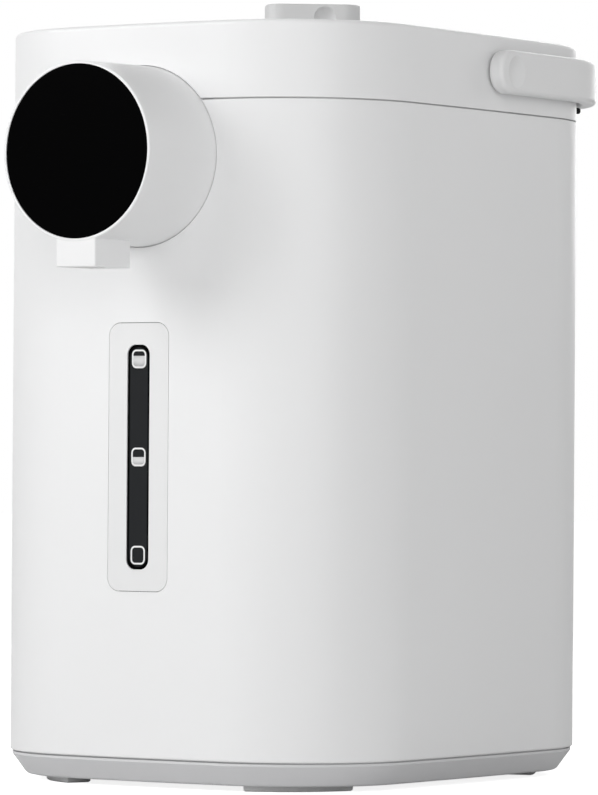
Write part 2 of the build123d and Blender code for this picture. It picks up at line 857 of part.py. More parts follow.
def make_gauge_holder():
    width = panel_width + 2 * holder_margin
    height = panel_height + 2 * holder_margin
    face = panel_thickness + slip
    holder = front_prism(width, height, panel_corner, panel_centre)
    holder = holder & wall(face, face + holder_plate, seam_low, seam_high)
    holder = holder.solids().sort_by(Axis.Y)[0]
    holder = holder - front_prism(window_width - 1, window_height, window_corner, panel_centre)
    z = (panel_centre - height / 2 + 4, panel_centre + height / 2 - 4)
    for sign in (-1, 1):
        x = sorted((sign * (line_outer + 0.4), sign * (line_outer + 2.4)))
        holder = holder + block(x, (front + face + 1, tube_y + 2), z)
    bars = [panel_centre - window_height / 2 - 6, panel_centre + window_height / 2 + 2]
    for low in bars:
        bar = block((-line_outer - 1, line_outer + 1), (front + face + 1, tube_y + 2), (low, low + 4))
        holder = holder + (bar - rod(line_radius + slip, low, low + 4, 0, tube_y))
    return holder


# Power: board on the base's posts, inlet socket in the rear wall and its pins
def make_power_board():
    y = front + pcb_setback
    z = base_floor + pcb_rise
    board = block((pcb_x - pcb_width / 2, pcb_x + pcb_width / 2), (y - pcb_depth / 2, y + pcb_depth / 2),
                  (z, z + board_thickness))
    deck = z + board_thickness
    parts = [
        block((pcb_x - 20, pcb_x - 2), (y - 9, y + 9), (deck, deck + 14)),
        block((pcb_x + 2, pcb_x + 16), (y - 12, y - 2), (deck, deck + 10)),
        rod(4.5, deck, deck + 12, pcb_x + 8, y + 7),
        block((pcb_x + 15, pcb_x + 22), (y + 1, y + 11), (deck, deck + 7)),
    ]
    board = joined(board, *parts)
    for x, place in board_places():
        board = board - rod(board_hole, z, deck, x, place)
    return board


def pin_places():
    return [-pin_pitch, 0.0, pin_pitch]


def make_inlet_socket():
    rear = body_depth / 2
    socket = inlet_prism(0, rear - inlet_depth, rear + 2) & slab(0.0, seam_low, seam_high)
    inset = body_wall + slip
    flange = inlet_prism(inlet_flange, rear - 12, rear)
    socket = socket + (flange & wall(inset, inset + inlet_flange_thickness, seam_low, seam_high))
    socket = socket - inlet_prism(-inlet_wall, rear - inlet_depth + inlet_floor, rear + 2)
    for x in pin_places():
        socket = socket - rod_y(inlet_pin_radius + pin_fit, rear - inlet_depth, rear, x, inlet_centre)
    return socket


def make_inlet_pins():
    y = body_depth / 2 - inlet_depth
    pins = []
    for x in pin_places():
        pin = rod_y(inlet_pin_radius, y - pin_tail, y - pin_tail + pin_length, x, inlet_centre)
        pins += fillet(pin.edges().group_by(Axis.Y)[-1], pin_round).solids()
    return Compound(pins)


# Lid: cover with barrel, boss and bolt guides; pan below with chimney; seal, screws, vent and steam cap
def lid_screw_places():
    return screw_ring(pan_radius - 9, 4, 45)


def make_lid_cover():
    skirt = rim_width + lid_gap
    low = deck_top + lid_gap
    lid = slab(skirt, lid_under, lid_top) - block((-side, side), (lid_rear, body_depth), (0, top))
    rear_corners = lid.edges().filter_by(Axis.Z).group_by(Axis.Y)[-1]
    lid = fillet(rear_corners, lid_rear_corner)
    lid = fillet(lid.edges().group_by(Axis.Z)[-1], 1.0)
    skirt_in = skirt + skirt_set
    skirt_rear = lid_rear - skirt_set
    hanging = slab(skirt_in, low, lid_under) - block((-side, side), (skirt_rear, body_depth), (0, top))
    room = slab(skirt_in + pan_wall, low, lid_under)
    room = room - block((-side, side), (skirt_rear - pan_wall, body_depth), (0, top))
    lid = lid + (hanging - room)
    lid = lid + block((-barrel_half, barrel_half), (lid_rear - 1, hinge_y), (lid_under, lid_top))
    lid = lid + rod_x(barrel_radius, -barrel_half, barrel_half, hinge_y, hinge_z)
    rib_out = pan_radius - 0.5
    lid = lid + ring(rib_out, rib_out - 2.5, pan_top, lid_under, 0, vessel_y)
    lid = lid + rod(knob_disc_radius + 3, boss_under, lid_under, 0, vessel_y)
    for x, y in lid_screw_places():
        lid = lid + rod(3.8, pan_top, lid_under, x, y) - rod(1.2, pan_top, lid_under - 1, x, y)
    for sign in (-1, 1):
        y = bolt_y(sign)
        x = sorted((sign * (knob_disc_radius + 4), sign * (side - skirt - 1)))
        for edge in (y[0] - slip - 1.4, y[1] + slip):
            lid = lid + block(x, (edge, edge + 1.4), (pan_top, lid_under))
        way = sorted((sign * knob_disc_radius, sign * side))
        lid = lid - block(way, (y[0] - slip, y[1] + slip), (bolt_bottom - slip, bolt_top + slip))
        notch = sorted((sign * (ear_inner - slip), sign * (ear_inner + ear_width + slip)))
        lid = lid - block(notch, (hinge_y - barrel_radius - 0.8, body_depth), (low - 1, top))
    disc_floor = lid_top - knob_disc_thickness + 0.2 - small_gap
    lid = lid - rod(knob_disc_radius + 0.4, disc_floor, top, 0, vessel_y)
    lid = lid - rod(4.0 + running_fit, boss_under - 1, top, 0, vessel_y)
    lid = lid - rod_x(hinge_pin_radius + running_fit, -barrel_half, barrel_half, hinge_y, hinge_z)
    hole = Pos(0, vessel_y + vent_offset, lid_under - 1) * SlotOverall(vent_length, vent_width)
    return lid - extrude(hole, 5)


def make_lid_pan():
    pan = ring(pan_radius, pan_radius - pan_wall, pan_bottom, pan_top)
    pan = pan + rod(pan_radius, pan_bottom, pan_bottom + pan_floor)
    pan = Pos(0, vessel_y, 0) * pan
    y = vessel_y + vent_offset
    pan = pan + rod(5.0, pan_bottom, lid_under - 4, 0, y) - rod(3.2, pan_bottom, lid_under - 4, 0, y)
    for x, y in lid_screw_places():
        pan = pan + rod(3.8, pan_bottom, pan_top, x, y)
        pan = pan - rod(1.6, pan_bottom, pan_top, x, y) - rod(3.2, pan_bottom, pan_bottom + 2.2, x, y)
    return pan


def make_lid_screws():
    seat = pan_bottom + 2.2
    screws = []
    for x, y in lid_screw_places():
        screws += (rod(3.0, seat - 2.0, seat, x, y) + rod(1.15, seat, lid_under - 2, x, y)).solids()
    return Compound(screws)


def make_lid_seal():
    low = vessel_rim + slip
    outer = pan_radius
    return Pos(0, vessel_y, 0) * turned([
        (outer, pan_bottom), (outer - 5, pan_bottom), (outer - 5, low + 1.2), (outer - 3.8, low),
        (outer - 1.2, low), (outer, low + 1.2),
    ])


def make_steam_vent():
    y = vessel_y + vent_offset
    plug = Pos(0, y, lid_under - 3) * SlotOverall(vent_length - slip, vent_width - slip)
    plug = extrude(plug, lid_wall + 3)
    flange = SlotOverall(vent_length + 2 * vent_flange, vent_width + 2 * vent_flange)
    flange = extrude(Pos(0, y, lid_under - 1.5) * flange, 1.4)
    vent = plug + flange
    for i in range(5):
        vent = vent - block(((i - 2) * 4 - 1, (i - 2) * 4 + 1), (y - 3, y + 3), (lid_under - 4, lid_top))
    return vent


def make_steam_cap():
    y = vessel_y + vent_offset
    inner = cap_radius - cap_wall
    cap = turned([
        (cap_hole, -cap_depth), (cap_radius, -cap_depth), (cap_radius, 0), (inner, 0),
        (inner, cap_wall - cap_depth), (cap_hole, cap_wall - cap_depth),
    ])
    return Pos(0, y, pan_bottom) * cap


def make_hinge_pin():
    pin = rod_x(hinge_pin_radius, -barrel_half + 0.5, barrel_half - 0.5, hinge_y, hinge_z)
    return chamfer(pin.edges().filter_by(GeomType.CIRCLE), 0.4)


# Twist lock: grip with finger scoops, pinion on its spindle, and a rack bolt to each side
def make_knob():
    low = lid_top - knob_disc_thickness + 0.2
    disc = rod(knob_disc_radius, low, lid_top + 0.2)
    bar = Pos(0, 0, lid_top) * RectangleRounded(knob_length, knob_width, knob_corner)
    bar = extrude(bar, knob_height + lid_sink)
    bar = fillet(bar.edges().group_by(Axis.Z)[-1], 1.0)
    for sign in (-1, 1):
        centre = sign * (knob_width / 2 + scoop_radius - scoop_depth)
        bar = bar - Pos(-sign * scoop_offset, centre, top + knob_height - scoop_drop) * Sphere(scoop_radius)
    knob = disc + bar + rod(4.0, boss_under - 0.1, low) + rod(2.5, bolt_bottom, boss_under)
    knob = knob - rod(1.3, bolt_bottom, boss_under + 2)
    return Pos(0, vessel_y, 0) * Rot(0, 0, knob_angle) * knob


def involute(angle):
    return tan(angle) - angle


def tooth_flank():
    """Radii and half angles of a tooth's flank, from root to tip."""
    base = pitch_radius * cos(radians(pressure_angle))
    half = (tooth_pitch / 2 - backlash / 2) / 2 / pitch_radius + involute(radians(pressure_angle))
    tip = pitch_radius + tooth_addendum
    radii = [base + (tip - base) * i / 3 for i in range(4)]
    flank = [(pitch_radius - tooth_dedendum, half)]
    for radius in radii:
        flank.append((radius, half - involute(atan(sqrt((radius / base) ** 2 - 1)))))
    return flank


def make_pinion():
    flank = tooth_flank()
    points = []
    for i in range(pinion_teeth):
        middle = -pi / 2 + 2 * pi * i / pinion_teeth
        rising = [(r, middle - a) for r, a in flank]
        falling = [(r, middle + a) for r, a in reversed(flank)]
        points += [(r * cos(a), r * sin(a)) for r, a in rising + falling]
    gear = extrude(make_face(Polyline(*points, close=True)), bolt_thickness)
    gear = gear - rod(2.5 + small_gap / 5, 0, bolt_thickness)
    return Pos(0, vessel_y, bolt_bottom) * gear


def make_knob_screw():
    low = bolt_bottom - 0.1
    screw = rod(4.0, low - 1.8, low) + rod(1.25, low, boss_under + 1)
    return Pos(0, vessel_y, 0) * screw


def make_bolt(sign):
    """The right bolt (sign 1) has its rack in front of the pinion, the left one (sign -1) behind it."""
    root = tooth_pitch / 4 - backlash / 4 + tooth_dedendum * tan(radians(pressure_angle))
    crest = tooth_pitch / 4 - backlash / 4 - tooth_addendum * tan(radians(pressure_angle))
    end = (2 - rack_teeth) * tooth_pitch - root - rack_end
    tip = side - rim_width - lid_gap - 0.5
    y = pitch_radius + tooth_dedendum
    bar = block((end, tip), (-y - bolt_width, -y), (bolt_bottom, bolt_top))
    bar = chamfer(bar.edges().filter_by(Axis.Z).sort_by(Axis.X)[-2:], 1.0)
    first = 2 - rack_teeth + (0.5 if sign > 0 else 0.0)
    for i in range(rack_teeth):
        x = (first + i) * tooth_pitch
        tooth = Polyline(
            (x - root, -y - 0.2), (x - root, -y), (x - crest, -pitch_radius + tooth_addendum),
            (x + crest, -pitch_radius + tooth_addendum), (x + root, -y), (x + root, -y - 0.2), close=True,
        )
        bar = bar + extrude(Pos(0, 0, bolt_bottom) * make_face(tooth), bolt_thickness)
    return Pos(0, vessel_y, 0) * Rot(0, 0, 0 if sign > 0 else 180) * bar


# Bail: bow round the back of the collar, with its pins, washers and the studs that it rests on
def make_bail():
    outer = bail_gap + bail_thickness
    low = pivot_z - bail_height / 2
    bow = wall(-outer, -bail_gap, low, low + bail_height)
    wide = side + outer + 5
    reach = body_depth
    nose = pivot_y - bail_nose
    profile = block((-wide, wide), (nose, reach), (low, low + bail_height))
    profile = profile + rod_x(bail_height / 2, -wide, wide, nose, pivot_z)
    bow = bow & profile
    rims = [e for e in bow.edges() if e.length > 5]
    bow = fillet(rims, bail_edge)
    sphere_radius = (dimple_radius**2 + dimple_depth**2) / (2 * dimple_depth)
    for sign in (-1, 1):
        x = sign * (side + outer + sphere_radius - dimple_depth)
        bow = bow - Pos(x, pivot_y, pivot_z) * Sphere(sphere_radius)
        hole = sorted((sign * (side + bail_gap - 1), sign * (side + bail_gap + 4.2)))
        bow = bow - rod_x(pivot_radius + running_fit, *hole, pivot_y, pivot_z)
    return bow


def make_bail_pins():
    low = side - collar_wall - 2.1
    pin = rod_x(6.0, low, low + 2.0, pivot_y, pivot_z)
    pin = pin + rod_x(pivot_radius, low, side + bail_gap + 4.0, pivot_y, pivot_z)
    return mirror_pair(pin)


def make_bail_washers():
    low, high = side + 0.1, side + bail_gap - 0.1
    washer = rod_x(6.5, low, high, pivot_y, pivot_z)
    washer = washer - rod_x(pivot_radius + running_fit, low, high, pivot_y, pivot_z)
    return mirror_pair(washer)


def make_rest_studs():
    back = -collar_wall - small_gap
    stud = rod(stud_radius, back, stud_reach)
    stud = fillet(stud.edges().group_by(Axis.Z)[-1], stud_round)
    stud = stud + rod(stud_radius + stud_head / 2, back - stud_head, back)
    return mirror_pair(stud_plane().location * stud)


nodes = {
    "base_cover": make_base_cover,
    "rubber_feet": make_feet,
    "base_screws": make_base_screws,
    "body_shell": make_body_shell,
    "collar": make_collar,
    "vessel": make_vessel,
    "vessel_base": make_vessel_base,
    "vessel_seal": make_vessel_seal,
    "vessel_screws": make_vessel_screws,
    "insulation_sleeve": make_sleeve,
    "heating_plate": make_heating_plate,
    "bottom_bracket": make_bracket,
    "thermal_cutout": make_thermal_cutout,
    "temperature_sensor": make_sensor,
    "pump_housing": make_pump_housing,
    "pump_impeller": make_impeller,
    "pump_motor": make_motor,
    "pump_cradle": make_cradle,
    "inlet_hose": make_inlet_hose,
    "lower_hose": make_lower_hose,
    "level_tube": make_level_tube,
    "upper_hose": make_upper_hose,
    "outlet_pipe": make_outlet_pipe,
    "head_shell": make_head_shell,
    "display_lens": make_lens,
    "display_board": make_display_board,
    "outlet_nozzle": make_nozzle,
    "gauge_panel": make_gauge_panel,
    "gauge_window": make_gauge_window,
    "gauge_holder": make_gauge_holder,
    "power_board": make_power_board,
    "inlet_socket": make_inlet_socket,
    "inlet_pins": make_inlet_pins,
    "lid_cover": make_lid_cover,
    "lid_pan": make_lid_pan,
    "lid_screws": make_lid_screws,
    "lid_seal": make_lid_seal,
    "steam_vent": make_steam_vent,
    "steam_cap": make_steam_cap,
    "hinge_pin": make_hinge_pin,
    "lock_knob": make_knob,
    "lock_pinion": make_pinion,
    "knob_screw": make_knob_screw,
    "bolt_right": lambda: make_bolt(1),
    "bolt_left": lambda: make_bolt(-1),
    "bail": make_bail,
    "bail_pins": make_bail_pins,
    "bail_washers": make_bail_washers,
    "rest_studs": make_rest_studs,
}

os.makedirs("parts", exist_ok=True)
for name, make in nodes.items():
    export_step(Pos(0, origin_y, 0) * make(), f"parts/{name}.step")
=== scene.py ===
import math

import bmesh
import bpy
import numpy as np
from mathutils import Matrix, Vector


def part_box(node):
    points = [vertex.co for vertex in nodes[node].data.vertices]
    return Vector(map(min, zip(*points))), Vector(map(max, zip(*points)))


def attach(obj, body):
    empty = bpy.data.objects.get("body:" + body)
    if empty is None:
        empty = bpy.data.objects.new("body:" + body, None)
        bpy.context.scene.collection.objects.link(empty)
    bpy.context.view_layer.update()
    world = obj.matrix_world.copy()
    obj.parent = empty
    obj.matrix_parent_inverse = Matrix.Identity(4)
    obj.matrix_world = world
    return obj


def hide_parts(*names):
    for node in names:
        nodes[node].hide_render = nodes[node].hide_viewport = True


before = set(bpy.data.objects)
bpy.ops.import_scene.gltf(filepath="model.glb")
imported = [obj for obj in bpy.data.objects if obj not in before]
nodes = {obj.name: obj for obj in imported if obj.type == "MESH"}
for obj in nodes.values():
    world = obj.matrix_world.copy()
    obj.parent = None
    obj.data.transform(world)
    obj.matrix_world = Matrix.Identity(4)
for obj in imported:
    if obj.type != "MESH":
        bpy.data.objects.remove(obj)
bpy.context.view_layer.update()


# White housings: body shell, collar, spout head and lid cover
# Injection-moulded ABS with a fine even grain. The gloss and the tone drift a little, as moulded skins
# do, and the seams between the housings are open gaps of the solids.
def new_group(name, inputs, outputs):
    """An empty shader group with number inputs {name: default} and outputs {name: socket type}."""
    tree = bpy.data.node_groups.new(name, "ShaderNodeTree")
    for label, value in inputs.items():
        socket = tree.interface.new_socket(label, in_out="INPUT", socket_type="NodeSocketFloat")
        socket.default_value = value
    for label, kind in outputs.items():
        tree.interface.new_socket(label, in_out="OUTPUT", socket_type=kind)
    return tree, tree.nodes.new("NodeGroupInput"), tree.nodes.new("NodeGroupOutput")


def feed(tree, socket, value):
    """Sets a socket to a number, or links it to another socket."""
    if isinstance(value, (int, float)):
        socket.default_value = value
    else:
        tree.links.new(value, socket)


def noise(tree, vector, scale, detail=2.0, roughness=0.5):
    """A noise texture's value."""
    node = tree.nodes.new("ShaderNodeTexNoise")
    node.inputs["Detail"].default_value = detail
    node.inputs["Roughness"].default_value = roughness
    tree.links.new(vector, node.inputs["Vector"])
    feed(tree, node.inputs["Scale"], scale)
    return node.outputs["Fac"]


def calculated(tree, operation, a, b=0.0):
    """One arithmetic step on numbers or sockets."""
    node = tree.nodes.new("ShaderNodeMath")
    node.operation = operation
    feed(tree, node.inputs[0], a)
    feed(tree, node.inputs[1], b)
    return node.outputs[0]


def stepped(tree, value, low, high):
    """0 below low, 1 above high and a straight ramp between."""
    node = tree.nodes.new("ShaderNodeMapRange")
    tree.links.new(value, node.inputs["Value"])
    node.inputs["From Min"].default_value = low
    node.inputs["From Max"].default_value = high
    return node.outputs["Result"]


def bump(tree, height, distance):
    """A normal that leans with the height's slope."""
    node = tree.nodes.new("ShaderNodeBump")
    tree.links.new(height, node.inputs["Height"])
    feed(tree, node.inputs["Distance"], distance)
    return node.outputs["Normal"]


def object_place(tree, stretch=(1, 1, 1)):
    """Object coordinates in metres, stretched where a pattern runs one way."""
    mapping = tree.nodes.new("ShaderNodeMapping")
    mapping.inputs["Scale"].default_value = stretch
    tree.links.new(tree.nodes.new("ShaderNodeTexCoord").outputs["Object"], mapping.inputs["Vector"])
    return mapping.outputs["Vector"]


def surface_group(name, stretch, scale, detail, sharp):
    """Fine noise gives the normal, and with a slow noise it moves the gloss and the tone."""
    drift_scale = 14.0
    tree, start, end = new_group(
        name,
        {"Scale": scale, "Depth": 0.00001, "Gloss": 0.4, "Drift": 0.04, "Mottle": 0.5},
        {"Normal": "NodeSocketVector", "Roughness": "NodeSocketFloat", "Tone": "NodeSocketFloat"},
    )
    mottle = start.outputs["Mottle"]
    fine = noise(tree, object_place(tree, stretch), start.outputs["Scale"], detail, sharp)
    slow = noise(tree, object_place(tree), drift_scale)
    both = calculated(tree, "ADD", calculated(tree, "MULTIPLY", fine, mottle), slow)
    middle = calculated(tree, "ADD", calculated(tree, "MULTIPLY", mottle, 0.5), 0.5)
    centred = calculated(tree, "SUBTRACT", both, middle)
    drift = calculated(tree, "MULTIPLY", centred, start.outputs["Drift"])
    gloss = calculated(tree, "ADD", start.outputs["Gloss"], drift)
    tree.links.new(gloss, end.inputs["Roughness"])
    tree.links.new(calculated(tree, "ADD", centred, 0.5), end.inputs["Tone"])
    tree.links.new(bump(tree, fine, start.outputs["Depth"]), end.inputs["Normal"])
    return tree


moulded = surface_group("moulded skin", (1, 1, 1), 2500.0, 3.0, 0.6)


def finished(name, colour, roughness, group=moulded, fade=0.03, extras=None, **values):
    """A material with the group's grain, whose colour drifts to one darker by fade."""
    material = bpy.data.materials.new(name)
    material.use_nodes = True
    tree = material.node_tree
    shader = tree.nodes["Principled BSDF"]
    for label, value in (extras or {}).items():
        shader.inputs[label].default_value = value
    node = tree.nodes.new("ShaderNodeGroup")
    node.node_tree = group
    node.inputs["Gloss"].default_value = roughness
    for label, value in values.items():
        node.inputs[label.title()].default_value = value
    mix = tree.nodes.new("ShaderNodeMix")
    mix.data_type = "RGBA"
    mix.inputs["A"].default_value = (*(c * (1 - fade) for c in colour), 1.0)
    mix.inputs["B"].default_value = (*colour, 1.0)
    tree.links.new(node.outputs["Tone"], mix.inputs["Factor"])
    tree.links.new(mix.outputs["Result"], shader.inputs["Base Color"])
    tree.links.new(node.outputs["Roughness"], shader.inputs["Roughness"])
    tree.links.new(node.outputs["Normal"], shader.inputs["Normal"])
    return material


def dress(material, *names):
    """Gives CAD nodes a material and smooth shading."""
    for name in names:
        mesh = nodes[name].data
        mesh.materials.clear()
        mesh.materials.append(material)
        mesh.shade_smooth()


white = finished("white shell plastic", (0.86, 0.862, 0.865), 0.45, fade=0.02,
                 extras={"Coat Weight": 0.08, "Coat Roughness": 0.3, "Specular IOR Level": 0.35})
dress(white, "body_shell", "collar", "head_shell", "lid_cover")


# Base cover and feet
# The tapered base is a greyer, duller moulding than the shell, and stands on four soft grey pads
# pressed into recesses. Four steel screws come up through it from below.
base_grey = finished("base plastic", (0.68, 0.681, 0.69), 0.5, fade=0.03,
                     scale=1900.0, depth=0.000015)
dress(base_grey, "base_cover")
pad_grey = finished("foot rubber", (0.80, 0.801, 0.803), 0.75, fade=0.10,
                    scale=1100.0, depth=0.00004, mottle=1.0)
dress(pad_grey, "rubber_feet")


def merged(mesh):
    """Joins points that coincide, which closes seams and poles, and turns the faces outwards."""
    nearest = 1e-7
    work = bmesh.new()
    work.from_mesh(mesh)
    bmesh.ops.remove_doubles(work, verts=work.verts, dist=nearest)
    bmesh.ops.recalc_face_normals(work, faces=work.faces)
    work.to_mesh(mesh)
    work.free()


def grid_piece(name, grids, material, body, wrap_u=False, wrap_v=False):
    """A piece from arrays of points (u, v, 3).
    Quads join neighbouring points, and a wrapped way closes on itself."""
    points, quads, start = [], [], 0
    for grid in grids:
        count_u, count_v = grid.shape[:2]
        rows = np.arange(count_u if wrap_u else count_u - 1)
        columns = np.arange(count_v if wrap_v else count_v - 1)
        u, v = np.meshgrid(rows, columns, indexing="ij")
        next_u, next_v = (u + 1) % count_u, (v + 1) % count_v
        near, far = u * count_v, next_u * count_v
        corners = [near + v, far + v, far + next_v, near + next_v]
        quads.append(np.stack(corners, axis=-1).reshape(-1, 4) + start)
        points.append(grid.reshape(-1, 3))
        start += count_u * count_v
    mesh = bpy.data.meshes.new(name)
    mesh.from_pydata(np.concatenate(points).tolist(), [], np.concatenate(quads).tolist())
    merged(mesh)
    mesh.materials.append(material)
    mesh.shade_smooth()
    piece = bpy.data.objects.new(name, mesh)
    bpy.context.scene.collection.objects.link(piece)
    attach(piece, body)
    return piece


def screw_grid(place, head_radius, head_height, shank_radius, length, pitch):
    """A cross-recessed screw that points up, as rows turned about its axis.
    The rows run from the head's middle over its crown, round its rim, in under it and up the shank to
    the tip. The cross sinks the crown where x or y is near the middle, and a triangle wave along the
    helix cuts the thread. Shares are of the head's or the shank's own size."""
    points_round, crown_rows, rim_rows, rows_in_pitch = 48, 12, 5, 5
    crown_share, crown_fall, rim_fall = 0.8, 0.14, 0.35
    tip_share, tip_rise, thread_depth = 0.45, 0.3, 0.18
    cross_half_width, cross_reach, cross_depth = 0.15, 0.66, 0.55

    angle = np.linspace(0, 2 * np.pi, points_round, endpoint=False)[None, :]
    crown = np.linspace(0, crown_share, crown_rows) * head_radius
    crown_z = -head_height * (1 - crown_fall * (crown / head_radius) ** 2)
    bend = np.linspace(0, np.pi / 2, rim_rows)
    rim = head_radius * (crown_share + (1 - crown_share) * np.sin(bend))
    rim_z = crown_z[-1] + rim_fall * head_height * (1 - np.cos(bend))
    shank_z = np.arange(0, length - shank_radius, pitch / rows_in_pitch)
    shank = np.full(shank_z.shape, shank_radius)
    under, tip = [head_radius, shank_radius], [tip_share * shank_radius, 0]
    tip_z = [length - tip_rise * shank_radius, length]
    radius = np.concatenate([crown, rim, under, shank, tip])[:, None]
    z = np.concatenate([crown_z, rim_z, [0, 0], shank_z, tip_z])[:, None]
    first = len(crown) + len(rim) + len(under)
    wave = np.abs(2 * np.mod(z / pitch - angle / (2 * np.pi), 1.0) - 1)
    row = np.arange(len(radius))[:, None]
    threaded = (row >= first) & (row < first + len(shank))
    radius = radius * np.where(threaded, 1 - thread_depth * wave, 1.0)
    x, y = radius * np.cos(angle), radius * np.sin(angle)
    narrow = np.minimum(np.abs(x), np.abs(y)) < cross_half_width * head_radius
    recess = (row < len(crown)) & narrow & (radius < cross_reach * head_radius)
    z = z + np.where(recess, cross_depth * head_height * (1 - radius / head_radius), 0.0)
    return np.stack([x + place[0], y + place[1], z + place[2]], axis=-1)


def screw_set(name, node, body, places, head_radius, head_height, shank_radius, pitch):
    """Threaded, cross-recessed screws in place of a node's plain ones, at the node's own heights."""
    low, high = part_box(node)
    seat = low.z + head_height
    sizes = (head_radius, head_height, shank_radius, high.z - seat, pitch)
    grids = [screw_grid((x, y, seat), *sizes) for x, y in places]
    piece = grid_piece(name, grids, plated, body, wrap_v=True)
    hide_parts(node)
    return piece


def on_ring(middle, radius, count, turn):
    """Places spread evenly on a circle."""
    angles = [math.radians(turn + 360 * i / count) for i in range(count)]
    return [(middle.x + radius * math.cos(a), middle.y + radius * math.sin(a)) for a in angles]


plated = finished("plated steel", (0.60, 0.60, 0.61), 0.28, scale=1500.0, depth=0.000004, drift=0.1,
                  extras={"Metallic": 1.0})
low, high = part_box("base_screws")
base_head = 0.0036
columns = (low.x + base_head, high.x - base_head)
rows = (low.y + base_head, high.y - base_head)
base_places = [(x, y) for x in columns for y in rows]
screw_set("base_screw_threads", "base_screws", "pot", base_places,
          base_head, head_height=0.0024, shank_radius=0.0015, pitch=0.0014)


# Inner vessel and what seals and wraps it
# A stainless tube with a welded base and fine lines round it from the draw. Three lines etched on its
# back wall stand at the heights of the gauge's marks. Felt wraps it, and a silicone ring seals its
# flange to the collar.
drawn = surface_group("drawn round", (60, 60, 6000), 1.0, 4.0, 0.7)
steel_round = finished("drawn steel", (0.60, 0.60, 0.61), 0.26, drawn, depth=0.000006, drift=0.16,
                       extras={"Metallic": 1.0})
dress(steel_round, "vessel", "vessel_base", "lid_pan", "hinge_pin", "pump_motor")
silicone = finished("silicone", (0.74, 0.72, 0.68), 0.55, fade=0.05,
                    extras={"Subsurface Weight": 0.15})
dress(silicone, "vessel_seal", "lid_seal", "inlet_hose", "lower_hose", "upper_hose")
felt = finished("felt", (0.44, 0.44, 0.42), 0.95, fade=0.25,
                scale=700.0, depth=0.0006, mottle=1.0)
dress(felt, "insulation_sleeve")

low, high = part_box("vessel")
flange_width = 0.009
vessel_wall = 0.0008
flange_radius = (high.x - low.x) / 2
vessel_middle = Vector(((low.x + high.x) / 2, (low.y + high.y) / 2, 0))
vessel_inner = flange_radius - flange_width - vessel_wall
low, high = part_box("gauge_window")
gauge_middle = (low + high) / 2
mark_pitch = 0.0414
mark_heights = [gauge_middle.z + step * mark_pitch for step in (-1, 0, 1)]


def arc_band(middle, radius, height, width, half_angle, thickness):
    """A thin curved bar on the inside of a wall: an angle along it, and a closed rectangle across it."""
    points_along = 17
    angle = np.pi / 2 + np.linspace(-half_angle, half_angle, points_along)[:, None]
    r = np.array([radius, radius, radius - thickness, radius - thickness])[None, :]
    z = height + np.array([-0.5, 0.5, 0.5, -0.5])[None, :] * width
    x, y = middle.x + r * np.cos(angle), middle.y + r * np.sin(angle)
    points = np.stack([x, y, z + 0 * angle], axis=-1)
    ends = points.mean(axis=1, keepdims=True).repeat(4, axis=1)
    return np.concatenate([ends[:1], points, ends[-1:]])


etched = finished("etched line", (0.16, 0.16, 0.165), 0.7, fade=0.15, scale=3000.0,
                  extras={"Metallic": 0.6})
line_width, line_thickness = 0.0009, 0.00004
half_angles = (0.10, 0.06, 0.14)
lines = [
    arc_band(vessel_middle, vessel_inner, height, line_width, half_angle, line_thickness)
    for height, half_angle in zip(mark_heights, half_angles)
]
grid_piece("fill_lines", lines, etched, "pot", wrap_v=True)

vessel_head = 0.003
low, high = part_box("vessel_screws")
ring = (high.y - low.y) / 2 - vessel_head
vessel_places = on_ring(vessel_middle, ring, count=6, turn=30)
screw_set("vessel_screw_threads", "vessel_screws", "pot", vessel_places,
          vessel_head, head_height=0.0022, shank_radius=0.00145, pitch=0.0012)


# Heater and what holds it
# A cast aluminium plate with its element ring, pressed to the vessel's floor by a folded steel
# bracket, with a phenolic cut-out and a brass sensor on its underside.
aluminium = finished("cast aluminium", (0.62, 0.62, 0.63), 0.48, fade=0.1,
                     scale=600.0, depth=0.00006, mottle=1.0, extras={"Metallic": 1.0})
dress(aluminium, "heating_plate")
rolled = surface_group("rolled flat", (60, 5000, 5000), 1.0, 4.0, 0.7)
steel_flat = finished("rolled steel", (0.58, 0.58, 0.59), 0.32, rolled, depth=0.000006, drift=0.18,
                      extras={"Metallic": 1.0})
dress(steel_flat, "bottom_bracket")
phenolic = finished("phenolic", (0.10, 0.05, 0.03), 0.5, fade=0.3, scale=900.0, mottle=1.0)
dress(phenolic, "thermal_cutout")
brass = finished("brass", (0.72, 0.52, 0.22), 0.3, fade=0.12, depth=0.000006, drift=0.12,
                 extras={"Metallic": 1.0})
dress(brass, "temperature_sensor", "inlet_pins")


# Pump, motor and water line
# Natural nylon mouldings and a steel motor can on a black cradle. Silicone hoses join the vessel, the
# pump and the clear level tube, and a sprung steel band holds each hose end.
nylon = finished("nylon", (0.74, 0.73, 0.68), 0.48, fade=0.05, depth=0.00002)
dress(nylon, "pump_housing", "pump_impeller", "outlet_pipe", "outlet_nozzle")
dark = finished("black plastic", (0.022, 0.022, 0.024), 0.45, fade=0.3, scale=1600.0, depth=0.00003)
dress(dark, "pump_cradle", "gauge_holder", "inlet_socket", "steam_vent")
clear = finished("clear tube", (0.92, 0.95, 0.96), 0.05, fade=0.01, depth=0.0, drift=0.01,
                 extras={"Transmission Weight": 1.0, "IOR": 1.49})
dress(clear, "level_tube")


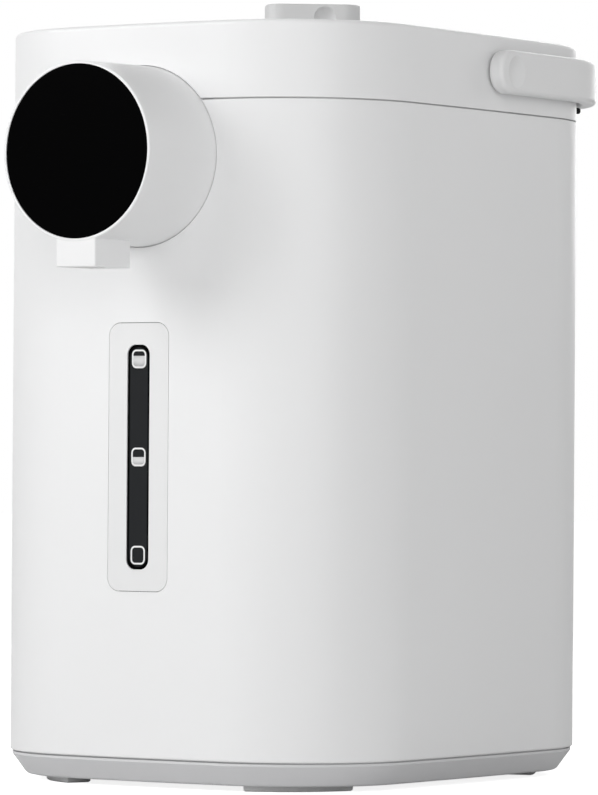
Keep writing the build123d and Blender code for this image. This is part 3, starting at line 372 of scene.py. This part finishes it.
def band_grid(middle, along, towards, radius):
    """A hose band: a ribbon round the hose with both ends bent out, and a rectangle as its section.
    The path is an arc with a straight ear at each end, and the section is offset along its normal."""
    half_width, thickness, ear = 0.0025, 0.0006, 0.0032
    half_gap, points_round = 20, 41
    angle = np.radians(np.linspace(half_gap, 360 - half_gap, points_round))
    ring = radius * np.stack([np.cos(angle), np.sin(angle)], axis=-1)
    ears = ring[[0, -1]] * (1 + ear / radius)
    path = np.concatenate([ears[:1], ring, ears[1:]])
    step = np.gradient(path, axis=0)
    step /= np.linalg.norm(step, axis=1, keepdims=True)
    outward = np.stack([step[:, 1], -step[:, 0]], axis=-1)
    side = np.array([-1, 1, 1, -1])[None, :, None] * half_width
    depth = np.array([0, 0, 1, 1])[None, :, None] * thickness
    across = along.cross(towards)
    flat = path[:, None, :] + outward[:, None, :] * depth
    points = np.array(middle) + flat[..., :1] * np.array(towards) + flat[..., 1:] * np.array(across)
    points = points + side * np.array(along)
    ends = points.mean(axis=1, keepdims=True).repeat(4, axis=1)
    return np.concatenate([ends[:1], points, ends[-1:]])


hose_radius = 0.00705
inset = 0.0045
up, back = Vector((0, 0, 1)), Vector((0, 1, 0))
low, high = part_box("upper_hose")
middle = (low + high) / 2
bands = [
    band_grid((middle.x, middle.y, z), up, back, hose_radius)
    for z in (low.z + inset, high.z - inset)
]
low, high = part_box("lower_hose")
pump_end = (low.x + hose_radius, high.y - hose_radius, low.z + inset)
tube_end = (high.x - hose_radius, low.y + hose_radius, high.z - inset)
bands += [band_grid(end, up, back, hose_radius) for end in (pump_end, tube_end)]
low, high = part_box("inlet_hose")
middle = (low + high) / 2
vessel_end = (middle.x, high.y - hose_radius, high.z - inset)
bands.append(band_grid(vessel_end, up, back, hose_radius))
pump_end = (middle.x, low.y + inset, low.z + hose_radius)
bands.append(band_grid(pump_end, back, up, hose_radius))
grid_piece("hose_bands", bands, plated, "pot", wrap_v=True)


# Level gauge
# A matt white bezel flush in the front, with a smoked window whose edge is printed black from behind.
# Three rounded squares are printed on it in white: nearly full, half full and empty.
bezel = finished("gauge bezel plastic", (0.80, 0.802, 0.804), 0.55, fade=0.02, depth=0.00002)
dress(bezel, "gauge_panel")


def make_window_material():
    """Smoked acrylic: dark grey over the tube, and black within a band's width of the slot's edge.
    The distance from the slot's middle line is worked out from Object coordinates."""
    material = finished("gauge window", (0.0252, 0.0265, 0.0282), 0.16, fade=0.1,
                        depth=0.0000005, drift=0.03, extras={"Specular IOR Level": 0.01})
    tree = material.node_tree
    shader = tree.nodes["Principled BSDF"]
    place = tree.nodes.new("ShaderNodeSeparateXYZ")
    tree.links.new(object_place(tree), place.inputs[0])
    low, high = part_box("gauge_window")
    half_width = (high.x - low.x) / 2
    half_height = (high.z - low.z) / 2
    band, soft = 0.0011, 0.0002
    band_black = (0.0015, 0.0015, 0.0015, 1.0)
    across = calculated(tree, "SUBTRACT", place.outputs["X"], gauge_middle.x)
    height = calculated(tree, "SUBTRACT", place.outputs["Z"], gauge_middle.z)
    along = calculated(tree, "ABSOLUTE", height)
    beyond = calculated(tree, "SUBTRACT", along, half_height - half_width)
    past = calculated(tree, "MAXIMUM", beyond, 0.0)
    across_squared = calculated(tree, "MULTIPLY", across, across)
    past_squared = calculated(tree, "MULTIPLY", past, past)
    reach = calculated(tree, "SQRT", calculated(tree, "ADD", across_squared, past_squared))
    edge = stepped(tree, reach, half_width - band - soft, half_width - band + soft)
    mix = tree.nodes.new("ShaderNodeMix")
    mix.data_type = "RGBA"
    mix.inputs["B"].default_value = band_black
    tree.links.new(edge, mix.inputs["Factor"])
    tree.links.new(shader.inputs["Base Color"].links[0].from_socket, mix.inputs["A"])
    tree.links.new(mix.outputs["Result"], shader.inputs["Base Color"])
    return material


dress(make_window_material(), "gauge_window")

ink_white = finished("white ink", (0.90, 0.90, 0.90), 0.5, fade=0.03, scale=4000.0)
ink_grey = finished("light grey ink", (0.66, 0.66, 0.665), 0.55, fade=0.08,
                    scale=4000.0, mottle=1.0)
icon_half_width, icon_half_height, icon_corner, icon_line = 0.0037, 0.00395, 0.0022, 0.00075
ink_thickness = 0.00004
window_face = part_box("gauge_window")[0].y


def rounded_edge(half_width, half_height, radius, steps=8):
    """A rounded rectangle's edge: a quarter circle about the centre of each corner in turn."""
    angle = np.arange(4)[:, None] * np.pi / 2 + np.linspace(0, np.pi / 2, steps)[None, :]
    x = np.array([1, -1, -1, 1])[:, None] * (half_width - radius) + radius * np.cos(angle)
    z = np.array([1, 1, -1, -1])[:, None] * (half_height - radius) + radius * np.sin(angle)
    return np.stack([x, z], axis=-1).reshape(-1, 2)


def icon_ring(height):
    """The outline: the rounded square and the same drawn in by the line's width."""
    outer = rounded_edge(icon_half_width, icon_half_height, icon_corner)
    inner = rounded_edge(
        icon_half_width - icon_line,
        icon_half_height - icon_line,
        icon_corner - icon_line,
    )
    flat = np.stack([outer, inner], axis=1)
    y = np.full(flat.shape[:2], window_face)
    return np.stack([gauge_middle.x + flat[..., 0], y, height + flat[..., 1]], axis=-1)


def icon_fill(height, level):
    """The water in the icon: between the rounded floor and a level line, for each x across.
    It reaches a little under the outline."""
    points_across = 33
    drawn_in = 0.8 * icon_line
    half = icon_half_width - drawn_in
    floor_z = drawn_in - icon_half_height
    radius = icon_corner - drawn_in
    x = np.linspace(-half, half, points_across)
    past = np.maximum(np.abs(x) - (half - radius), 0)
    bottom = floor_z + radius - np.sqrt(np.maximum(radius**2 - past**2, 0))
    z = np.stack([bottom, np.full(x.shape, level)], axis=1)
    y = np.full(z.shape, window_face)
    return np.stack([gauge_middle.x + x[:, None] + 0 * z, y, height + z], axis=-1)


def printed(piece, thickness):
    """Gives a flat print its thickness, half of it standing on the window's face."""
    solid = piece.modifiers.new("ink", "SOLIDIFY")
    solid.thickness = thickness
    solid.offset = 0.0


rings = [icon_ring(z) for z in mark_heights]
marks = grid_piece("level_marks", rings, ink_white, "pot", wrap_u=True)
printed(marks, ink_thickness)
air = 0.0019
nearly_full = icon_half_height - icon_line - air
fills = [icon_fill(mark_heights[1], 0.0), icon_fill(mark_heights[2], nearly_full)]
printed(grid_piece("level_fills", fills, ink_grey, "pot"), ink_thickness / 2)


# Spout head
# A black touch disc lies just inside the round shell's rim, over its control board. The outlet pipe
# comes down behind it to the nozzle in the block below.
lens_black = finished("touch disc", (0.0015, 0.0015, 0.0016), 0.1, fade=0.1,
                      depth=0.0000004, drift=0.02, extras={"Specular IOR Level": 0.006})
dress(lens_black, "display_lens")


def make_board_material():
    """Circuit board: green lacquer over copper tracks, which are bands of a distorted wave."""
    material = finished("circuit board", (0.02, 0.13, 0.05), 0.35, fade=0.2,
                        scale=900.0, depth=0.00001)
    tree = material.node_tree
    shader = tree.nodes["Principled BSDF"]
    track_green = (0.05, 0.24, 0.07, 1.0)
    track_scale, track_bend = 90.0, 6.0
    track_low, track_high = 0.72, 0.80
    wave = tree.nodes.new("ShaderNodeTexWave")
    wave.wave_type = "RINGS"
    wave.inputs["Scale"].default_value = track_scale
    wave.inputs["Distortion"].default_value = track_bend
    tree.links.new(object_place(tree), wave.inputs["Vector"])
    track = stepped(tree, wave.outputs["Fac"], track_low, track_high)
    mix = tree.nodes.new("ShaderNodeMix")
    mix.data_type = "RGBA"
    mix.inputs["B"].default_value = track_green
    tree.links.new(track, mix.inputs["Factor"])
    tree.links.new(shader.inputs["Base Color"].links[0].from_socket, mix.inputs["A"])
    tree.links.new(mix.outputs["Result"], shader.inputs["Base Color"])
    return material


dress(make_board_material(), "display_board", "power_board")


# Lid fittings, twist lock and bail
# The lid's pan is screwed up under its cover over a silicone ring. The grey knob turns a nylon pinion
# between two nylon racks. The bail is a white moulding on nylon pins, and rests on two small rubber
# studs. Their near black colour is partly painted shade: it stands for the dark gap between the bail
# and the collar's rear.
dress(nylon, "steam_cap", "lock_pinion", "bolt_right", "bolt_left", "bail_pins", "bail_washers")
# The knob is coloured one even mid grey, darker than the shell.
knob_grey = finished("knob plastic", (0.66, 0.661, 0.663), 0.5, fade=0.02)
dress(knob_grey, "lock_knob")
bail_white = finished("bail plastic", (0.83, 0.831, 0.833), 0.42, fade=0.02,
                      extras={"Specular IOR Level": 0.35})
dress(bail_white, "bail")
# Near black studs: partly painted shade for the dark gap between the bail and the collar's rear.
stud_black_gap_shade = finished("stud rubber and gap shade", (0.006, 0.006, 0.0065), 0.6, fade=0.2, depth=0.00002,
                      extras={"Specular IOR Level": 0.2})
dress(stud_black_gap_shade, "rest_studs")

lid_head = 0.003
low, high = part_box("lid_screws")
ring = ((high.x - low.x) / 2 - lid_head) * math.sqrt(2)
lid_places = on_ring(vessel_middle, ring, count=4, turn=45)
screw_set("lid_screw_threads", "lid_screws", "lid", lid_places,
          lid_head, head_height=0.002, shank_radius=0.00115, pitch=0.001)
screw_set("knob_screw_threads", "knob_screw", "knob", [(vessel_middle.x, vessel_middle.y)],
          head_radius=0.004, head_height=0.0018, shank_radius=0.00125, pitch=0.001)


# Studio
# The camera stands at the photograph's angle. Soft square lamps light the pot, and the world and the
# floor are white by ray type, so that the light on the pot stays plain.
image_height = 795
focal_pixels = 5310
sensor = 36.0
azimuth, pitch, roll = (math.radians(a) for a in (33.95, 0.625, 0.396))
distance, eye_height, aside = 2.339, 0.141, 0.000809
body_axis = Vector((0, 0.01845, 0))

forward = Vector((-math.sin(azimuth), math.cos(azimuth), 0))
across = Vector((math.cos(azimuth), math.sin(azimuth), 0))
look = forward * math.cos(pitch) + up * math.sin(pitch)
raised = up * math.cos(pitch) - forward * math.sin(pitch)
camera_right = across * math.cos(roll) + raised * math.sin(roll)
camera_up = raised * math.cos(roll) - across * math.sin(roll)
camera = bpy.data.objects.new("camera", bpy.data.cameras.new("camera"))
bpy.context.scene.collection.objects.link(camera)
camera.data.sensor_fit = "VERTICAL"
camera.data.sensor_height = sensor
camera.data.lens = focal_pixels * sensor / image_height
camera.data.clip_end = 50.0
turn = Matrix((camera_right, camera_up, -look)).transposed().to_4x4()
eye = body_axis + up * eye_height - forward * distance + across * aside
camera.matrix_world = Matrix.Translation(eye) @ turn
bpy.context.scene.camera = camera


lamp_distance, lamp_size = 1.6, 0.9
middle_height = 0.17
pot_middle = body_axis + up * middle_height


def soft_light(name, azimuth_degrees, elevation_degrees, power):
    """A square lamp that faces the pot's middle. Its azimuth is counted from the front."""
    around, above = math.radians(azimuth_degrees), math.radians(elevation_degrees)
    level = Vector((math.sin(around), -math.cos(around), 0))
    way = level * math.cos(above) + up * math.sin(above)
    data = bpy.data.lights.new(name, "AREA")
    data.size = lamp_size
    data.energy = power
    lamp = bpy.data.objects.new(name, data)
    bpy.context.scene.collection.objects.link(lamp)
    lamp.location = pot_middle + way * lamp_distance
    lamp.rotation_euler = (-way).to_track_quat("-Z", "Y").to_euler()


soft_light("key", -40, 25, 10.6)
soft_light("high key", -25, 35, 2.0)
soft_light("front fill", 30, 25, 3.6)
soft_light("side fill", 50, 5, 6.8)
soft_light("rear right", 145, 20, 1.8)
soft_light("rear left", -160, 20, 9.0)

ambient_level = 0.25
world = bpy.data.worlds.new("studio")
bpy.context.scene.world = world
world.use_nodes = True
tree = world.node_tree
tree.nodes.clear()
paths = tree.nodes.new("ShaderNodeLightPath")
seen = calculated(tree, "MAXIMUM", paths.outputs["Is Camera Ray"], paths.outputs["Is Glossy Ray"])
seen = calculated(tree, "MAXIMUM", seen, paths.outputs["Is Transmission Ray"])
grounds = []
for strength in (ambient_level, 1.0):
    ground = tree.nodes.new("ShaderNodeBackground")
    ground.inputs["Color"].default_value = (1, 1, 1, 1)
    ground.inputs["Strength"].default_value = strength
    grounds.append(ground)
mix = tree.nodes.new("ShaderNodeMixShader")
tree.links.new(seen, mix.inputs[0])
tree.links.new(grounds[0].outputs[0], mix.inputs[1])
tree.links.new(grounds[1].outputs[0], mix.inputs[2])
tree.links.new(mix.outputs[0], tree.nodes.new("ShaderNodeOutputWorld").inputs[0])

floor_half = 8.0
edge = np.array([-floor_half, floor_half])
x, y = np.meshgrid(edge, edge, indexing="ij")
floor_mesh = bpy.data.meshes.new("floor")
floor_mesh.from_pydata(np.stack([x, y, 0 * x], axis=-1).reshape(-1, 3).tolist(), [], [(0, 2, 3, 1)])
floor = bpy.data.objects.new("floor", floor_mesh)
bpy.context.scene.collection.objects.link(floor)
paper = finished("floor paper", (0.80, 0.80, 0.80), 0.9, fade=0.0, depth=0.00002,
                 extras={"Specular IOR Level": 0.0})
tree = paper.node_tree
shader = tree.nodes["Principled BSDF"]
paths = tree.nodes.new("ShaderNodeLightPath")
shader.inputs["Emission Color"].default_value = (1, 1, 1, 1)
camera_glow = 0.85
glow = calculated(tree, "MULTIPLY", paths.outputs["Is Camera Ray"], camera_glow)
tree.links.new(glow, shader.inputs["Emission Strength"])
floor_mesh.materials.append(paper)

bpy.context.scene.view_settings.view_transform = "Standard"
